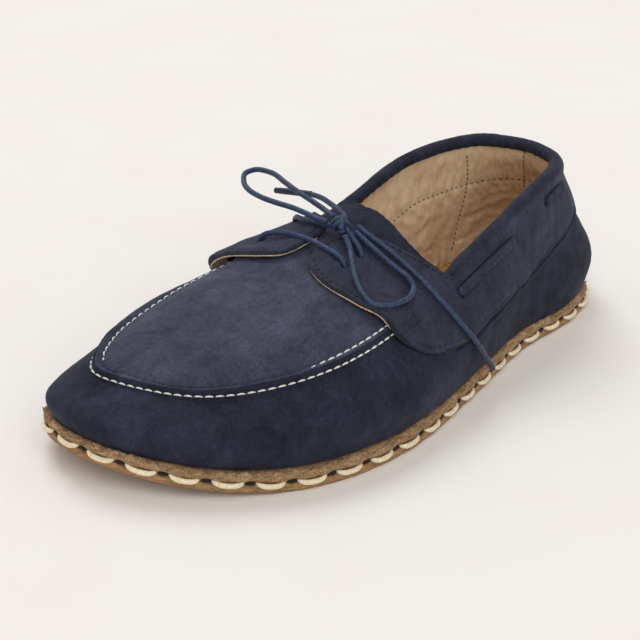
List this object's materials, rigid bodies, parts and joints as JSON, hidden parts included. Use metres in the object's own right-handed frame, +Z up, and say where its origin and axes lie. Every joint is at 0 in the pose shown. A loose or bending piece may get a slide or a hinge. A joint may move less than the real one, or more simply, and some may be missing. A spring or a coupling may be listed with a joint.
{
  "type": "boat shoe",
  "caption": "Moccasin-toe boat shoe for the left foot: leather sole, hollow upper with padded collar, wide tongue, eyelet facings and a bow-tied round lace",
  "frame": {"origin": "on the underside of the outsole, on the centre line of the heel and collar and midway along the sole", "axes": "+Z up, the toe towards -Y and the heel towards +Y, the outer (lateral) side towards +X"},
  "size_m": [0.1137, 0.2764, 0.0752],
  "materials": {
    "sole_leather": "tan leather with a cut edge",
    "midsole_leather": "brown rough-edged leather",
    "insole_leather": "smooth golden brown leather",
    "nubuck": "navy nubuck with a fine nap",
    "lace_cord": "round waxed navy cord",
    "aglet": "dark shrunk sleeve"
  },
  "bodies": {
    "root": {"outsole": "sole_leather", "midsole": "midsole_leather", "insole": "insole_leather", "upper": "nubuck", "tongue": "nubuck", "band_lateral": "nubuck", "band_medial": "nubuck", "backstay": "nubuck", "collar_roll": "nubuck", "lace_bar_front": "lace_cord", "lace_bar_medial": "lace_cord", "lace_bar_lateral": "lace_cord", "lace_loop_medial": "lace_cord", "lace_loop_lateral": "lace_cord", "lace_end_short": "lace_cord", "lace_end_long": "lace_cord", "lace_aglet_short": "aglet", "lace_aglet_long": "aglet", "lace_knot": "lace_cord"}
  },
  "joints": []
}
